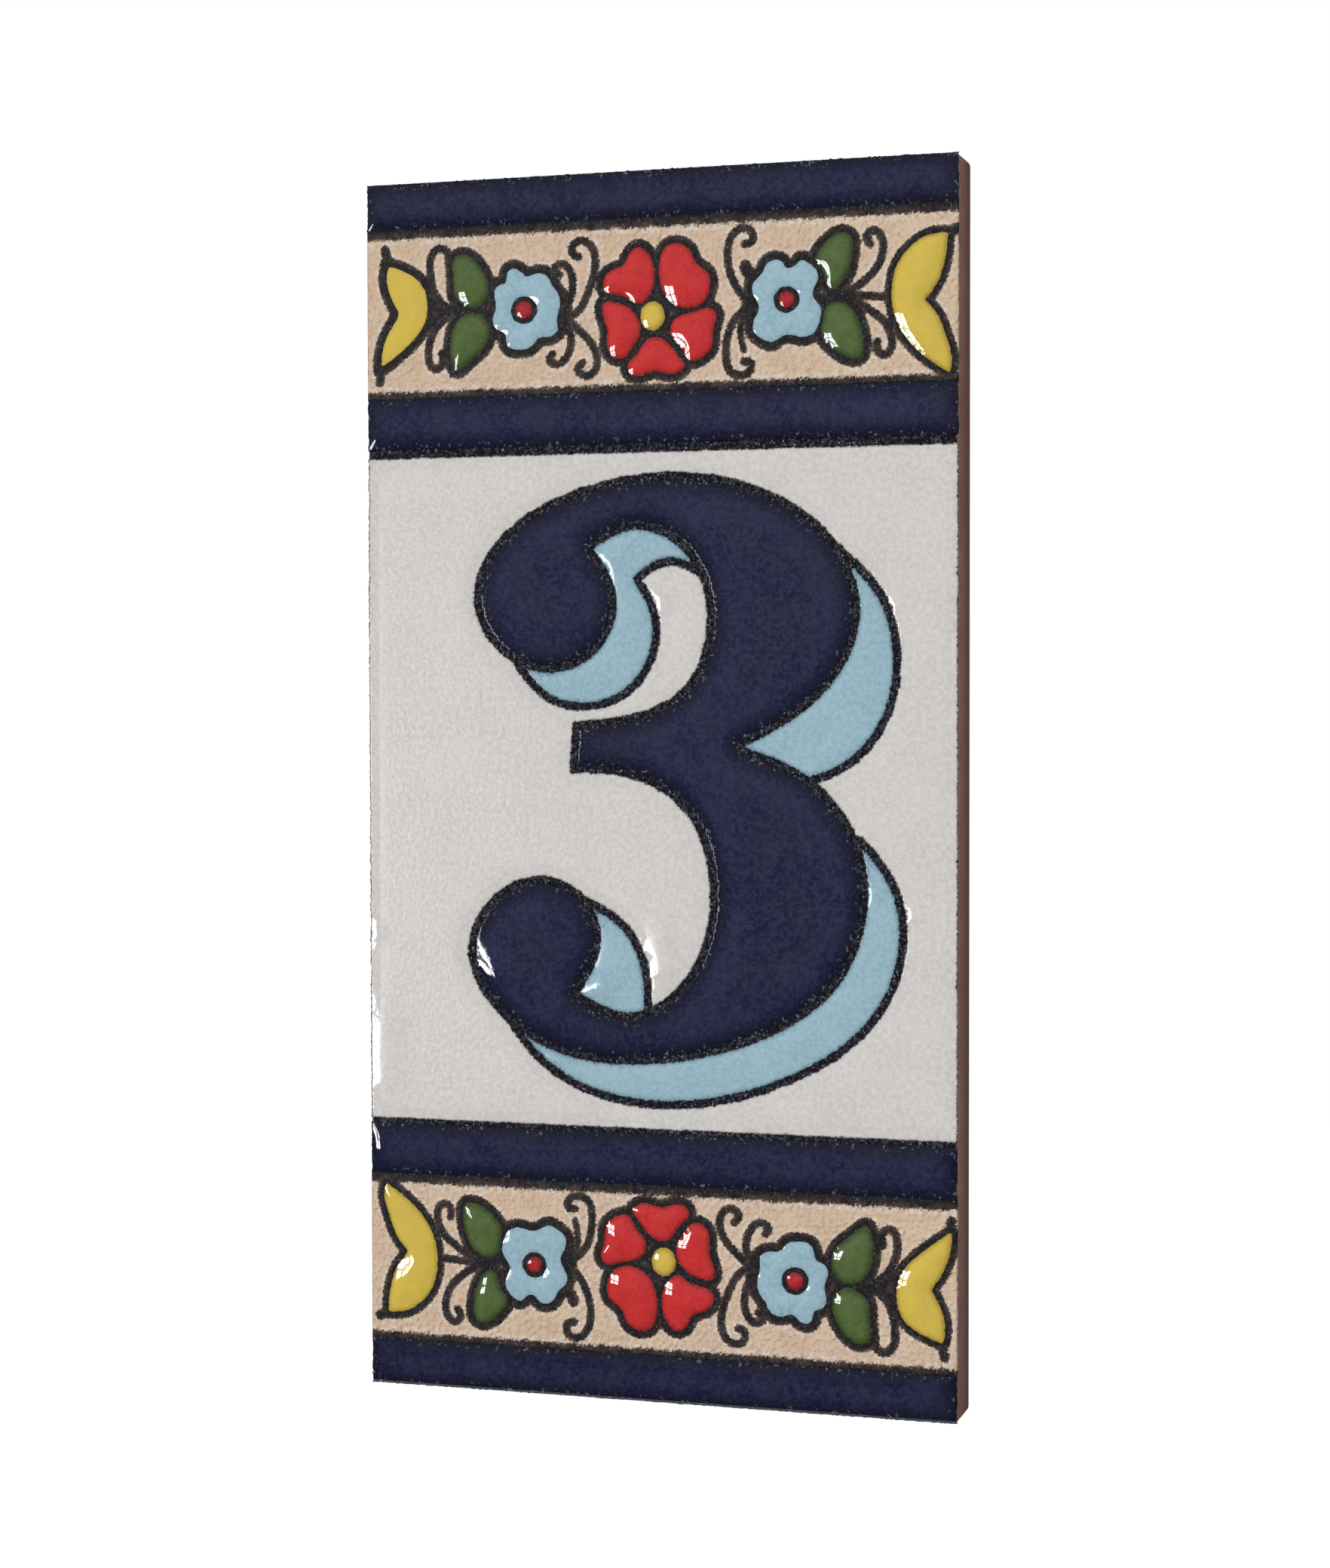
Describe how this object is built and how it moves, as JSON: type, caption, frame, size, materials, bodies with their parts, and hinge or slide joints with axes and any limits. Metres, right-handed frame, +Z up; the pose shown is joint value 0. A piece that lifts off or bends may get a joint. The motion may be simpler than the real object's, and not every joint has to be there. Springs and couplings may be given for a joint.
{
  "type": "house number tile",
  "caption": "Flat upright glazed ceramic tile showing a large shaded numeral between flowered borders, set on a wall or door frame to mark a house.",
  "frame": {"origin": "centre of the back face, on the land between the two middle keying grooves", "axes": "+Z up the tile as the numeral reads, +Y into the wall, so that the glazed face looks along -Y; +X to the reader's right"},
  "size_m": [0.075, 0.007, 0.15],
  "materials": {
    "glazed_tile": "glossy raised glazes with bare dark lines between them"
  },
  "bodies": {
    "root": {"number_tile": "glazed_tile"}
  },
  "joints": []
}
